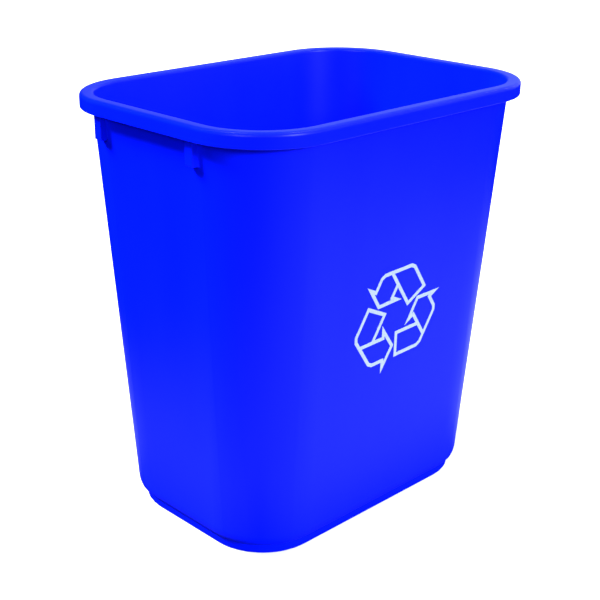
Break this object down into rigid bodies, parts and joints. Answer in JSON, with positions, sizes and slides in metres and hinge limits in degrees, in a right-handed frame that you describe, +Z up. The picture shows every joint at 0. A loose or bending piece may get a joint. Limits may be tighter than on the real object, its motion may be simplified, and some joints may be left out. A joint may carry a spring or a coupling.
{
  "type": "wastebasket",
  "caption": "Rectangular deskside wastebasket with tapered walls, rounded corners, a rolled rim, a recessed foot and a printed recycling mark.",
  "frame": {"origin": "centre of the footprint, on the floor", "axes": "+Z up, +X along the long side, the printed broad wall faces -Y"},
  "size_m": [0.356, 0.26, 0.381],
  "materials": {
    "blue_plastic": "satin moulded polyethylene",
    "white_print": "matt printed film"
  },
  "bodies": {
    "root": {"basket_body": "blue_plastic", "mark_arrow_top": "white_print", "mark_arrow_left": "white_print", "mark_arrow_right": "white_print"}
  },
  "joints": []
}
